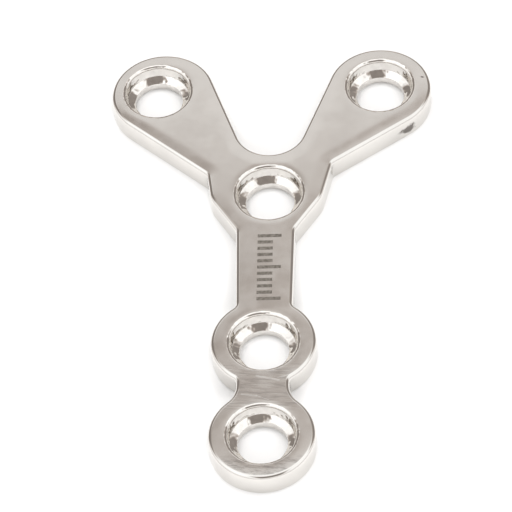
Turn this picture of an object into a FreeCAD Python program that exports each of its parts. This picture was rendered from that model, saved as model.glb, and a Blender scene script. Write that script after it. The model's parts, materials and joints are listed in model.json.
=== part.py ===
import FreeCAD, Part
import math
import os
from enum import IntEnum

import Sketcher
from FreeCAD import Vector

# Five-hole Y-shaped bone plate for 2.0 mm screws, milled from one flat blank.
# Frame: X across the plate, Y along it from the stem's end towards the arms, Z up.
# The bone face lies on z = 0. The origin is on the junction hole's axis, and the head,
# with its two arms, is symmetric about x = 0 apart from the places of its shoulders
# and of the left arm's hole.

# Driving dimensions in millimetres: cell alias, value, meaning.
DRIVING_DIMENSIONS = (
    ("plate_thickness", 1.2, "bone face to upper face"),
    ("stem_drift", 0.14, "stem's centre line, this far left of the head's"),
    ("ring_diameter", 4.9, "outside of each ring round a stem hole"),
    ("stem_hole_reach", 8.75, "junction hole to stem hole, along Y"),
    ("ring_pitch", 5.2, "stem hole to end hole"),
    ("neck_width", 2.45, "bar between the two rings"),
    ("stem_width_at_ring", 2.65, "stem where it leaves the ring"),
    ("stem_width_at_haunch", 2.8, "stem where the haunch begins"),
    ("haunch_foot_drop", 2.25, "foot of the haunch below the junction hole"),
    ("haunch_half_width", 2.65, "widest place of the haunch, from the stem's centre line"),
    ("haunch_top_drop", 0.3, "widest place of the haunch below the junction hole"),
    ("shoulder_half_width", 3.0, "inner corner between haunch and arm"),
    ("right_shoulder_rise", 1.75, "right shoulder corner above the junction hole"),
    ("left_shoulder_rise", 1.2, "left shoulder corner above the junction hole"),
    ("arm_end_diameter", 5.0, "round end of each arm"),
    ("arm_end_half_span", 5.25, "head's centre line to the centre of an arm's end"),
    ("arm_end_rise", 6.35, "centre of an arm's end above the junction hole"),
    ("crotch_rise", 4.05, "centre of the arc between the arms"),
    ("crotch_radius", 1.65, "arc between the arms"),
    ("arm_hole_half_span", 5.27, "head's centre line to an arm's hole"),
    ("arm_hole_rise", 6.48, "arm's hole above the junction hole"),
    ("left_hole_outset", 0.24, "left arm's hole, this much further out than the right one"),
    ("neck_corner_radius", 0.3, "where the neck meets a ring"),
    ("stem_corner_radius", 0.35, "where the stem meets its ring"),
    ("haunch_foot_radius", 0.5, "where the stem meets the haunch"),
    ("haunch_top_radius", 1.4, "widest place of the haunch"),
    ("shoulder_radius", 0.4, "corner between haunch and arm"),
    ("upper_edge_round", 0.18, "polished round along the upper face's outline"),
    ("lower_edge_break", 0.08, "chamfer along the bone face's outline"),
    ("bore_diameter", 2.3, "clearance bore for a 2.0 mm screw"),
    ("seat_radius", 1.54, "spherical seat under the screw's head"),
    ("seat_centre_height", 0.2, "centre of the seat's sphere above the upper face"),
    ("rim_break", 0.16, "chamfer at the mouth of a seat"),
    ("bore_edge_break", 0.06, "chamfer of a bore at the bone face"),
)

# How far a cutting profile stands clear of the plate's faces.
CUTTER_CLEARANCE = 0.5
# How near to its expected place an edge has to lie to be picked.
PICK_TOLERANCE = 0.002

UP = Vector(0, 0, 1)


class Spot(IntEnum):
    """Which point of a sketched edge a constraint holds."""

    START = 1
    END = 2
    CENTRE = 3


class Axis(IntEnum):
    """A sketch's own axes, by the numbers that constraints know them by."""

    H_AXIS = -1
    V_AXIS = -2


START, END, CENTRE = Spot
H_AXIS, V_AXIS = Axis
ORIGIN_POINT = (H_AXIS, START)


def make_sheet(doc):
    """Write the driving dimensions into a sheet and return it with their values."""
    sheet = doc.addObject("Spreadsheet::Sheet", "Dimensions")
    values = {}
    for row, (alias, value, meaning) in enumerate(DRIVING_DIMENSIONS, start=1):
        sheet.set(f"A{row}", meaning)
        sheet.set(f"B{row}", str(value))
        sheet.setAlias(f"B{row}", alias)
        values[alias] = value
    doc.recompute()
    return sheet, values


def origin_plane(body, role):
    """Find one of the body's own origin planes."""
    for feature in body.Origin.OriginFeatures:
        if feature.Role == role:
            return feature
    raise RuntimeError(f"no {role} in {body.Label}")


def polar(centre, radius, angle):
    """Point on a circle in the sketch plane."""
    return centre + Vector(radius * math.cos(angle), radius * math.sin(angle), 0)


def angle_of(centre, point):
    """Direction from a centre to a point in the sketch plane."""
    return math.atan2(point.y - centre.y, point.x - centre.x)


def mirrored(point, axis_x):
    """Point mirrored about an upright line."""
    return Vector(2 * axis_x - point.x, point.y, 0)


def touch_from_point(point, centre, radius, side):
    """Where a line from a point touches a circle; side is +1 with the circle on its left."""
    offset = centre - point
    reach = math.sqrt(offset.Length ** 2 - radius ** 2)
    angle = angle_of(point, centre) - side * math.asin(radius / offset.Length)
    return polar(point, reach, angle)


def cross_tangent_direction(lower, lower_radius, upper, upper_radius):
    """Direction of the inner tangent of two circles, the lower on its left."""
    offset = upper - lower
    return angle_of(lower, upper) + math.asin((lower_radius + upper_radius) / offset.Length)


class OutlinePoints:
    """Places of the outline's corners, worked out from the driving dimensions."""

    def __init__(self, dims):
        self.stem_x = -dims["stem_drift"]
        self.ring_radius = dims["ring_diameter"] / 2
        self.end_ring = Vector(self.stem_x, -dims["stem_hole_reach"] - dims["ring_pitch"], 0)
        self.stem_ring = Vector(self.stem_x, -dims["stem_hole_reach"], 0)
        neck_half = dims["neck_width"] / 2
        neck_rise = math.sqrt(self.ring_radius ** 2 - neck_half ** 2)
        self.neck_low = self.end_ring + Vector(neck_half, neck_rise, 0)
        self.neck_high = self.stem_ring + Vector(neck_half, -neck_rise, 0)
        stem_half = dims["stem_width_at_ring"] / 2
        stem_rise = math.sqrt(self.ring_radius ** 2 - stem_half ** 2)
        self.stem_foot = self.stem_ring + Vector(stem_half, stem_rise, 0)
        foot_half = dims["stem_width_at_haunch"] / 2
        self.haunch_foot = Vector(self.stem_x + foot_half, -dims["haunch_foot_drop"], 0)
        top_half = dims["haunch_half_width"]
        self.haunch_top = Vector(self.stem_x + top_half, -dims["haunch_top_drop"], 0)
        shoulder_half = dims["shoulder_half_width"]
        self.right_shoulder = Vector(shoulder_half, dims["right_shoulder_rise"], 0)
        self.left_shoulder = Vector(-shoulder_half, dims["left_shoulder_rise"], 0)
        self.arm_radius = dims["arm_end_diameter"] / 2
        self.right_end = Vector(dims["arm_end_half_span"], dims["arm_end_rise"], 0)
        self.crotch_radius = dims["crotch_radius"]
        self.crotch = Vector(0, dims["crotch_rise"], 0)
        heading = cross_tangent_direction(
            self.crotch, self.crotch_radius, self.right_end, self.arm_radius)
        self.end_inner = polar(self.right_end, self.arm_radius, heading + math.pi / 2)
        self.crotch_edge = polar(self.crotch, self.crotch_radius, heading - math.pi / 2)
        self.right_outer = touch_from_point(
            self.right_shoulder, self.right_end, self.arm_radius, 1)
        self.left_outer = touch_from_point(
            self.left_shoulder, mirrored(self.right_end, 0), self.arm_radius, -1)

    def corner_groups(self, dims):
        """Upright edges to round after the pad, with the cell that holds each radius."""
        def pair(point):
            return [point, mirrored(point, self.stem_x)]
        return (
            ("NeckCorners", "neck_corner_radius", pair(self.neck_low) + pair(self.neck_high)),
            ("StemCorners", "stem_corner_radius", pair(self.stem_foot)),
            ("HaunchFeet", "haunch_foot_radius", pair(self.haunch_foot)),
            ("HaunchTops", "haunch_top_radius", pair(self.haunch_top)),
            ("Shoulders", "shoulder_radius", [self.right_shoulder, self.left_shoulder]),
        )


def add_line(sketch, start, end):
    """Add a straight edge and return its number."""
    return sketch.addGeometry(Part.LineSegment(start, end), False)


def add_arc(sketch, centre, radius, first, last):
    """Add an arc that turns left from its first point to its last."""
    begin = angle_of(centre, first)
    finish = angle_of(centre, last)
    if finish <= begin:
        finish += 2 * math.pi
    circle = Part.Circle(centre, UP, radius)
    return sketch.addGeometry(Part.ArcOfCircle(circle, begin, finish), False)


def bind(sketch, name, expression, *constraint):
    """Add a named dimension and tie it to the sheet."""
    index = sketch.addConstraint(Sketcher.Constraint(*constraint))
    sketch.renameConstraint(index, name)
    sketch.setExpression(f"Constraints.{name}", expression)


def draw_outline(body, points, dims):
    """Draw the plate's outline with sharp corners, fully constrained."""
    sketch = body.newObject("Sketcher::SketchObject", "PlateOutline")
    sketch.AttachmentSupport = (origin_plane(body, "XY_Plane"), "")
    sketch.MapMode = "FlatFace"

    def on_stem(point):
        return mirrored(point, points.stem_x)

    left_end = mirrored(points.right_end, 0)
    end_ring = add_arc(sketch, points.end_ring, points.ring_radius,
                       on_stem(points.neck_low), points.neck_low)
    neck_right = add_line(sketch, points.neck_low, points.neck_high)
    ring_right = add_arc(sketch, points.stem_ring, points.ring_radius,
                         points.neck_high, points.stem_foot)
    stem_right = add_line(sketch, points.stem_foot, points.haunch_foot)
    haunch_right = add_line(sketch, points.haunch_foot, points.haunch_top)
    flank_right = add_line(sketch, points.haunch_top, points.right_shoulder)
    outer_right = add_line(sketch, points.right_shoulder, points.right_outer)
    end_right = add_arc(sketch, points.right_end, points.arm_radius,
                        points.right_outer, points.end_inner)
    inner_right = add_line(sketch, points.end_inner, points.crotch_edge)
    crotch = add_arc(sketch, points.crotch, points.crotch_radius,
                     mirrored(points.crotch_edge, 0), points.crotch_edge)
    inner_left = add_line(sketch, mirrored(points.crotch_edge, 0),
                          mirrored(points.end_inner, 0))
    end_left = add_arc(sketch, left_end, points.arm_radius,
                       mirrored(points.end_inner, 0), points.left_outer)
    outer_left = add_line(sketch, points.left_outer, points.left_shoulder)
    flank_left = add_line(sketch, points.left_shoulder, on_stem(points.haunch_top))
    haunch_left = add_line(sketch, on_stem(points.haunch_top), on_stem(points.haunch_foot))
    stem_left = add_line(sketch, on_stem(points.haunch_foot), on_stem(points.stem_foot))
    ring_left = add_arc(sketch, points.stem_ring, points.ring_radius,
                        on_stem(points.stem_foot), on_stem(points.neck_high))
    neck_left = add_line(sketch, on_stem(points.neck_high), on_stem(points.neck_low))

    meets = [(end_ring, neck_right), (neck_right, ring_right), (ring_right, stem_right),
             (stem_right, haunch_right), (haunch_right, flank_right),
             (flank_right, outer_right), (outer_left, flank_left),
             (flank_left, haunch_left), (haunch_left, stem_left),
             (stem_left, ring_left), (ring_left, neck_left), (neck_left, end_ring)]
    for first, second in meets:
        sketch.addConstraint(Sketcher.Constraint("Coincident", first, END, second, START))
    # The crotch arc turns left about its centre, so its end meets the right arm.
    tangents = [(outer_right, END, end_right, START), (end_right, END, inner_right, START),
                (inner_right, END, crotch, END), (crotch, START, inner_left, START),
                (inner_left, END, end_left, START), (end_left, END, outer_left, START)]
    for tangent in tangents:
        sketch.addConstraint(Sketcher.Constraint("Tangent", *tangent))

    stem_line = add_line(sketch, points.end_ring, points.stem_ring)
    sketch.toggleConstruction(stem_line)
    sketch.addConstraint([
        Sketcher.Constraint("Coincident", stem_line, START, end_ring, CENTRE),
        Sketcher.Constraint("Coincident", stem_line, END, ring_right, CENTRE),
        Sketcher.Constraint("Coincident", ring_left, CENTRE, ring_right, CENTRE),
        Sketcher.Constraint("Vertical", stem_line),
        Sketcher.Constraint("Equal", ring_right, end_ring),
        Sketcher.Constraint("Vertical", neck_right),
        Sketcher.Constraint("Vertical", neck_left),
        Sketcher.Constraint("Horizontal", neck_left, END, neck_right, START),
        Sketcher.Constraint("Symmetric", stem_right, START, stem_left, END, stem_line),
        Sketcher.Constraint("Symmetric", stem_right, END, stem_left, START, stem_line),
        Sketcher.Constraint("Symmetric", haunch_right, END, haunch_left, START, stem_line),
        Sketcher.Constraint("PointOnObject", crotch, CENTRE, V_AXIS),
        Sketcher.Constraint("Symmetric", end_right, CENTRE, end_left, CENTRE, V_AXIS),
        Sketcher.Constraint("Equal", end_right, end_left),
    ])

    bind(sketch, "ring_radius", "Dimensions.ring_diameter / 2",
         "Radius", ring_right, points.ring_radius)
    bind(sketch, "stem_drift", "Dimensions.stem_drift",
         "DistanceX", ring_right, CENTRE, *ORIGIN_POINT, dims["stem_drift"])
    bind(sketch, "stem_hole_reach", "Dimensions.stem_hole_reach",
         "DistanceY", ring_right, CENTRE, *ORIGIN_POINT, dims["stem_hole_reach"])
    bind(sketch, "ring_pitch", "Dimensions.ring_pitch",
         "DistanceY", end_ring, CENTRE, ring_right, CENTRE, dims["ring_pitch"])
    bind(sketch, "neck_width", "Dimensions.neck_width",
         "DistanceX", neck_left, END, neck_right, START, dims["neck_width"])
    bind(sketch, "stem_width_at_ring", "Dimensions.stem_width_at_ring",
         "DistanceX", stem_left, END, stem_right, START, dims["stem_width_at_ring"])
    bind(sketch, "stem_width_at_haunch", "Dimensions.stem_width_at_haunch",
         "DistanceX", stem_left, START, stem_right, END, dims["stem_width_at_haunch"])
    bind(sketch, "haunch_foot_drop", "Dimensions.haunch_foot_drop",
         "DistanceY", stem_right, END, *ORIGIN_POINT, dims["haunch_foot_drop"])
    bind(sketch, "haunch_width", "2 * Dimensions.haunch_half_width",
         "DistanceX", haunch_left, START, haunch_right, END, 2 * dims["haunch_half_width"])
    bind(sketch, "haunch_top_drop", "Dimensions.haunch_top_drop",
         "DistanceY", haunch_right, END, *ORIGIN_POINT, dims["haunch_top_drop"])
    bind(sketch, "right_shoulder_reach", "Dimensions.shoulder_half_width",
         "DistanceX", *ORIGIN_POINT, flank_right, END, dims["shoulder_half_width"])
    bind(sketch, "left_shoulder_reach", "Dimensions.shoulder_half_width",
         "DistanceX", flank_left, START, *ORIGIN_POINT, dims["shoulder_half_width"])
    bind(sketch, "right_shoulder_rise", "Dimensions.right_shoulder_rise",
         "DistanceY", *ORIGIN_POINT, flank_right, END, dims["right_shoulder_rise"])
    bind(sketch, "left_shoulder_rise", "Dimensions.left_shoulder_rise",
         "DistanceY", *ORIGIN_POINT, flank_left, START, dims["left_shoulder_rise"])
    bind(sketch, "arm_end_radius", "Dimensions.arm_end_diameter / 2",
         "Radius", end_right, points.arm_radius)
    bind(sketch, "arm_end_half_span", "Dimensions.arm_end_half_span",
         "DistanceX", *ORIGIN_POINT, end_right, CENTRE, dims["arm_end_half_span"])
    bind(sketch, "arm_end_rise", "Dimensions.arm_end_rise",
         "DistanceY", *ORIGIN_POINT, end_right, CENTRE, dims["arm_end_rise"])
    bind(sketch, "crotch_radius", "Dimensions.crotch_radius",
         "Radius", crotch, dims["crotch_radius"])
    bind(sketch, "crotch_rise", "Dimensions.crotch_rise",
         "DistanceY", *ORIGIN_POINT, crotch, CENTRE, dims["crotch_rise"])
    return sketch


def upright_edges(shape, places):
    """Names of the upright edges that stand over the given places."""
    names = []
    for place in places:
        for number, edge in enumerate(shape.Edges, start=1):
            ends = [vertex.Point for vertex in edge.Vertexes]
            if len(ends) == 2 and all(
                    math.hypot(end.x - place.x, end.y - place.y) < PICK_TOLERANCE
                    for end in ends):
                names.append(f"Edge{number}")
    if len(names) != len(places):
        raise RuntimeError(f"{len(names)} upright edges found for {len(places)} places")
    return names


def level_edges(shape, height):
    """Names of the edges that lie flat at one height."""
    names = []
    for number, edge in enumerate(shape.Edges, start=1):
        box = edge.BoundBox
        if abs(box.ZMin - height) < PICK_TOLERANCE and abs(box.ZMax - height) < PICK_TOLERANCE:
            names.append(f"Edge{number}")
    return names


def dress_edges(body, base, kind, name, alias, edges):
    """Fillet or chamfer the named edges of the last feature by a size from the sheet."""
    feature = body.newObject(f"PartDesign::{kind}", name)
    feature.Base = (base, edges)
    feature.setExpression("Radius" if kind == "Fillet" else "Size", f"Dimensions.{alias}")
    body.Document.recompute()
    return feature


def seat_section(dims):
    """Section of a seat, as radius and height: sphere's centre, rim, mouth and bore's top."""
    centre = Vector(0, dims["plate_thickness"] + dims["seat_centre_height"], 0)
    mouth_drop = dims["seat_centre_height"] + dims["rim_break"]
    mouth_radius = math.sqrt(dims["seat_radius"] ** 2 - mouth_drop ** 2)
    mouth = Vector(mouth_radius, centre.y - mouth_drop, 0)
    rim = mouth + Vector(dims["rim_break"], dims["rim_break"], 0)
    bore_radius = dims["bore_diameter"] / 2
    seat_drop = math.sqrt(dims["seat_radius"] ** 2 - bore_radius ** 2)
    bore_top = Vector(bore_radius, centre.y - seat_drop, 0)
    return centre, rim, mouth, bore_top


def draw_hole_profile(body, name, place_x, place_y, dims):
    """Draw half the section of a screw hole beside its axis, at its place in the plate."""
    sketch = body.newObject("Sketcher::SketchObject", f"{name}Profile")
    sketch.AttachmentSupport = (origin_plane(body, "XZ_Plane"), "")
    sketch.MapMode = "FlatFace"
    # The plane's normal points along -Y.
    sketch.setExpression("AttachmentOffset.Base.x", place_x)
    sketch.setExpression("AttachmentOffset.Base.z", f"-({place_y})")

    centre, rim, mouth, bore_top = seat_section(dims)
    thickness = dims["plate_thickness"]
    bore_radius = dims["bore_diameter"] / 2
    edge_break = dims["bore_edge_break"]
    floor_centre = Vector(0, -CUTTER_CLEARANCE, 0)
    floor_edge = Vector(bore_radius + edge_break, -CUTTER_CLEARANCE, 0)
    break_low = Vector(bore_radius + edge_break, 0, 0)
    break_high = Vector(bore_radius, edge_break, 0)
    roof_edge = Vector(rim.x, thickness + CUTTER_CLEARANCE, 0)
    roof_centre = Vector(0, thickness + CUTTER_CLEARANCE, 0)

    floor = add_line(sketch, floor_centre, floor_edge)
    skirt = add_line(sketch, floor_edge, break_low)
    chamfer = add_line(sketch, break_low, break_high)
    bore = add_line(sketch, break_high, bore_top)
    seat = add_arc(sketch, centre, dims["seat_radius"], bore_top, mouth)
    lip = add_line(sketch, mouth, rim)
    riser = add_line(sketch, rim, roof_edge)
    roof = add_line(sketch, roof_edge, roof_centre)
    axis = add_line(sketch, roof_centre, floor_centre)

    for first, first_end, second, second_end in (
            (floor, END, skirt, START), (skirt, END, chamfer, START),
            (chamfer, END, bore, START), (bore, END, seat, START),
            (seat, END, lip, START), (lip, END, riser, START), (riser, END, roof, START),
            (roof, END, axis, START), (axis, END, floor, START)):
        sketch.addConstraint(
            Sketcher.Constraint("Coincident", first, first_end, second, second_end))
    sketch.addConstraint([
        Sketcher.Constraint("Horizontal", floor),
        Sketcher.Constraint("Vertical", skirt),
        Sketcher.Constraint("Vertical", bore),
        Sketcher.Constraint("Vertical", riser),
        Sketcher.Constraint("Horizontal", roof),
        Sketcher.Constraint("PointOnObject", axis, START, V_AXIS),
        Sketcher.Constraint("PointOnObject", axis, END, V_AXIS),
        Sketcher.Constraint("PointOnObject", seat, CENTRE, V_AXIS),
        Sketcher.Constraint("PointOnObject", skirt, END, H_AXIS),
    ])
    bind(sketch, "bore_radius", "Dimensions.bore_diameter / 2",
         "DistanceX", *ORIGIN_POINT, bore, START, bore_radius)
    bind(sketch, "break_width", "Dimensions.bore_edge_break",
         "DistanceX", bore, START, chamfer, START, edge_break)
    bind(sketch, "break_height", "Dimensions.bore_edge_break",
         "DistanceY", *ORIGIN_POINT, bore, START, edge_break)
    bind(sketch, "seat_radius", "Dimensions.seat_radius",
         "Radius", seat, dims["seat_radius"])
    bind(sketch, "seat_centre", "Dimensions.plate_thickness + Dimensions.seat_centre_height",
         "DistanceY", *ORIGIN_POINT, seat, CENTRE, centre.y)
    bind(sketch, "rim_break_width", "Dimensions.rim_break",
         "DistanceX", lip, START, lip, END, dims["rim_break"])
    bind(sketch, "rim_break_depth", "Dimensions.rim_break",
         "DistanceY", lip, START, lip, END, dims["rim_break"])
    bind(sketch, "rim_height", "Dimensions.plate_thickness",
         "DistanceY", *ORIGIN_POINT, lip, END, thickness)
    sketch.addConstraint(
        Sketcher.Constraint("DistanceY", floor, START, *ORIGIN_POINT, CUTTER_CLEARANCE))
    sketch.addConstraint(
        Sketcher.Constraint("DistanceY", riser, START, riser, END, CUTTER_CLEARANCE))
    return sketch


def cut_screw_hole(body, name, place_x, place_y, dims):
    """Turn a screw hole's section about its own axis and take it out of the plate."""
    profile = draw_hole_profile(body, name, place_x, place_y, dims)
    volume_before = body.Tip.Shape.Volume
    groove = body.newObject("PartDesign::Groove", name)
    groove.Profile = profile
    groove.ReferenceAxis = (profile, ["V_Axis"])
    groove.Angle = 360.0
    body.Document.recompute()
    if groove.Shape.Volume >= volume_before:
        raise RuntimeError(f"{name} removed nothing")
    profile.Visibility = False
    return groove


# Screw holes: name, then the place of the axis in terms of the sheet.
SCREW_HOLES = (
    ("JunctionHole", "0", "0"),
    ("StemHole", "-Dimensions.stem_drift", "-Dimensions.stem_hole_reach"),
    ("EndHole", "-Dimensions.stem_drift",
     "-Dimensions.stem_hole_reach - Dimensions.ring_pitch"),
    ("RightArmHole", "Dimensions.arm_hole_half_span", "Dimensions.arm_hole_rise"),
    ("LeftArmHole", "-Dimensions.arm_hole_half_span - Dimensions.left_hole_outset",
     "Dimensions.arm_hole_rise"),
)


def build_bone_plate(doc, dims):
    """Build the plate: blank, rounded corners, polished edges and five screw holes."""
    body = doc.addObject("PartDesign::Body", "BonePlate")
    body.Label = "bone_plate"
    body.Placement = FreeCAD.Placement(Vector(0, 0, 0), FreeCAD.Rotation())

    points = OutlinePoints(dims)
    outline = draw_outline(body, points, dims)
    blank = body.newObject("PartDesign::Pad", "Blank")
    blank.Profile = outline
    blank.setExpression("Length", "Dimensions.plate_thickness")
    doc.recompute()

    last = blank
    for name, alias, places in points.corner_groups(dims):
        last = dress_edges(body, last, "Fillet", name, alias,
                           upright_edges(last.Shape, places))
    last = dress_edges(body, last, "Fillet", "UpperEdge", "upper_edge_round",
                       level_edges(last.Shape, dims["plate_thickness"]))
    dress_edges(body, last, "Chamfer", "LowerEdge", "lower_edge_break",
                level_edges(last.Shape, 0))

    for name, place_x, place_y in SCREW_HOLES:
        cut_screw_hole(body, name, place_x, place_y, dims)
    outline.Visibility = False
    return body


def check_document(doc, bodies):
    """Stop if any object failed to compute or any body has no sound solid."""
    for item in doc.Objects:
        if "Invalid" in item.State or "Error" in item.State:
            raise RuntimeError(f"{item.Label} did not compute: {item.State}")
    for body in bodies:
        shape = body.Shape
        if shape.isNull() or not shape.isValid() or len(shape.Solids) != 1:
            raise RuntimeError(f"{body.Label} has no sound solid")


def main():
    doc = FreeCAD.newDocument("BonePlateDocument")
    _, dims = make_sheet(doc)
    bodies = [build_bone_plate(doc, dims)]
    doc.recompute()
    check_document(doc, bodies)

    os.makedirs("parts", exist_ok=True)
    for body in bodies:
        body.Shape.exportStep(os.path.join("parts", f"{body.Label}.step"))
        box = body.Shape.optimalBoundingBox()
        print(f"{body.Label}: {box.XLength:.2f} x {box.YLength:.2f} x {box.ZLength:.2f} mm,"
              f" {body.Shape.Volume:.2f} mm3, {len(body.Shape.Faces)} faces")


main()
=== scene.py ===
"""Looks of a five-hole Y-shaped bone plate: polished steel on a plain white table.

Lengths in the dataclasses are millimetres, in the plate's own frame: X across the plate,
Y along it from the stem's end towards the arms, Z up from the bone face. Finished meshes
are in metres.
"""

import json
import logging
import math
from dataclasses import dataclass, field, replace
from enum import Enum
from typing import Optional, Sequence, Union

import bmesh
import bpy
import numpy as np
from mathutils import Matrix, Vector, geometry

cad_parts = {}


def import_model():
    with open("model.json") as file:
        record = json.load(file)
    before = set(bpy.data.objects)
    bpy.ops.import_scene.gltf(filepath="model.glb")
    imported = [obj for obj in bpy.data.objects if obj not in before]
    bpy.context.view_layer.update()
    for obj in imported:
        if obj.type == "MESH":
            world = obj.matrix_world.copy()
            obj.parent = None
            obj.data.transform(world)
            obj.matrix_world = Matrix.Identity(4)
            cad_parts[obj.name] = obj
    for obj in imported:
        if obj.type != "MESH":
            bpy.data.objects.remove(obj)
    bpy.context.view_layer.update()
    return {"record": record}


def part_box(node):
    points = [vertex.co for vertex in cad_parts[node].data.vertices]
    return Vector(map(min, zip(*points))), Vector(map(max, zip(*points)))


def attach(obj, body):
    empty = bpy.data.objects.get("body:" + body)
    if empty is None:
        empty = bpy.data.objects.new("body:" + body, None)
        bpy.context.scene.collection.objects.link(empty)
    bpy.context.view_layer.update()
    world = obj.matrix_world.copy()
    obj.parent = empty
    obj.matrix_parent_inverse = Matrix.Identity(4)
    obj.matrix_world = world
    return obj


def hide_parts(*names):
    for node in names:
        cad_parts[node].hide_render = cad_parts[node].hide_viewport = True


MM = 0.001
MICROMETRE = 1e-6
NODE = "bone_plate"
BODY = "root"
PHOTO_SIDE_PX = 512
SENSOR_MM = 36.0
# Widest turn between two points on a round stretch of the outline.
FINEST_TURN_DEG = 5.0
# Rounds of the search for the arc that touches both runs at a corner.
CORNER_ROUNDS = 8
# Points of a face that are nearer than this count as one.
SAME_POINT = 1e-7
# How many points are measured against all others at once.
POINTS_AT_ONCE = 500
# Noise is seldom outside this range.
NOISE_LOW = 0.3
NOISE_HIGH = 0.7
BLACK = (0.0, 0.0, 0.0)
WHITE = (1.0, 1.0, 1.0)
# How much each finer layer of a streak adds to it.
STREAK_ROUGHNESS = 0.6

Socket = bpy.types.NodeSocket
Value = Union[float, Socket]
Colour = tuple[float, float, float]

log = logging.getLogger("bone_plate_scene")


def direction(azimuth_deg: float, elevation_deg: float) -> Vector:
    """Unit vector away from the plate.

    Args:
        azimuth_deg: 0 in front of the plate, towards -Y, and 90 on its right, towards +X.
        elevation_deg: Angle above the table.

    Returns:
        The vector.
    """
    a, e = math.radians(azimuth_deg), math.radians(elevation_deg)
    return Vector((math.sin(a) * math.cos(e), -math.cos(a) * math.cos(e), math.sin(e)))


def sideways(azimuth_deg: float) -> Vector:
    """Level unit vector across an azimuth, the way that azimuth grows."""
    a = math.radians(azimuth_deg)
    return Vector((math.cos(a), math.sin(a), 0.0))


class NodeGraph:
    """Adds nodes to a node tree and wires their sockets."""

    def __init__(self, tree: bpy.types.NodeTree) -> None:
        """Keep the tree that the nodes go into.

        Args:
            tree: A material's, world's or geometry node tree.
        """
        self.tree = tree

    def add(self, kind: str, inputs: Optional[dict] = None, **settings) -> bpy.types.Node:
        """Add one node.

        Args:
            kind: The node's type name.
            inputs: Values or other nodes' output sockets, by input name or number.
            **settings: The node's own properties.

        Returns:
            The new node.
        """
        node = self.tree.nodes.new(kind)
        for name, value in settings.items():
            setattr(node, name, value)
        for key, value in (inputs or {}).items():
            if isinstance(value, Socket):
                self.tree.links.new(value, node.inputs[key])
            else:
                node.inputs[key].default_value = value
        return node

    def math(self, operation: str, *values: Value, clamp: bool = False) -> Socket:
        """Add a Math node and return its result.

        Args:
            operation: Blender's name of the operation.
            *values: Its operands, numbers or sockets.
            clamp: Whether the result stays between 0 and 1.

        Returns:
            The result's socket.
        """
        node = self.add("ShaderNodeMath", dict(enumerate(values)), operation=operation,
                        use_clamp=clamp)
        return node.outputs[0]

    def vector(self, operation: str, *values: Union[Vector, tuple, Socket],
               result: str = "Vector") -> Socket:
        """Add a Vector Math node and return its result.

        Args:
            operation: Blender's name of the operation.
            *values: Its operands, vectors or sockets.
            result: Name of the output that is wanted.

        Returns:
            The result's socket.
        """
        node = self.add("ShaderNodeVectorMath", dict(enumerate(values)), operation=operation)
        return node.outputs[result]

    def noise(self, place: Socket, scale: float, detail: float) -> Socket:
        """Add a Noise Texture and return its value.

        Args:
            place: Where the noise is read.
            scale: How fine the noise is.
            detail: How many finer layers are added to it.

        Returns:
            The value's socket, from 0 to 1.
        """
        node = self.add("ShaderNodeTexNoise", {"Vector": place, "Scale": scale,
                                               "Detail": detail})
        return node.outputs[0]

    def mixed_colour(self, share: Value, first: Union[Colour, Socket],
                     second: Union[Colour, Socket]) -> Socket:
        """Mix two colours.

        Args:
            share: How much of the second colour, a number or socket.
            first: Red, green and blue of the colour at share 0, or a socket.
            second: Red, green and blue of the colour at share 1, or a socket.

        Returns:
            The mixed colour's socket.
        """
        node = self.add("ShaderNodeMix", {"Factor": share}, data_type="RGBA")
        ends = [i for i in node.inputs if i.type == "RGBA"]
        for end, colour in zip(ends, (first, second)):
            if isinstance(colour, Socket):
                self.tree.links.new(colour, end)
            else:
                end.default_value = (*colour, 1.0)
        return next(o for o in node.outputs if o.type == "RGBA")

    def smooth_range(self, value: Socket, low: float, high: float, start: float = 0.0,
                     end: float = 1.0) -> Socket:
        """Map a value smoothly from one range to another.

        Args:
            value: The socket that is mapped.
            low: Value that gives start.
            high: Value that gives end.
            start: Result at and below low.
            end: Result at and above high.

        Returns:
            The result's socket.
        """
        node = self.add("ShaderNodeMapRange", {
            "Value": value, "From Min": low, "From Max": high, "To Min": start,
            "To Max": end}, interpolation_type="SMOOTHSTEP")
        return node.outputs[0]


@dataclass(frozen=True)
class OutlineSample:
    """One place on the outline, with the direction into the plate."""

    spot: Vector
    inward: Vector

    def inset(self, distance: float) -> Vector:
        """Place at a distance inside the outline."""
        return self.spot + self.inward * distance


@dataclass(frozen=True)
class Straight:
    """Straight run of the outline, with the plate on its left."""

    start: Vector
    end: Vector

    def left_gap(self, spot: Vector) -> tuple[float, Vector]:
        """Signed distance of a spot to the left, and that direction.

        Args:
            spot: The place that is measured.

        Returns:
            The distance, below 0 on the right, and the unit vector to the left.
        """
        along = (self.end - self.start).normalized()
        left = Vector((-along.y, along.x))
        return (spot - self.start).dot(left), left

    def samples(self, spacing: float) -> list[OutlineSample]:
        """Evenly spaced places from the start up to, and without, the end.

        Args:
            spacing: Widest distance between two places.

        Returns:
            The places, in order.
        """
        count = max(1, math.ceil((self.end - self.start).length / spacing))
        left = self.left_gap(self.start)[1]
        return [OutlineSample(self.start.lerp(self.end, i / count), left)
                for i in range(count)]


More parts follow.
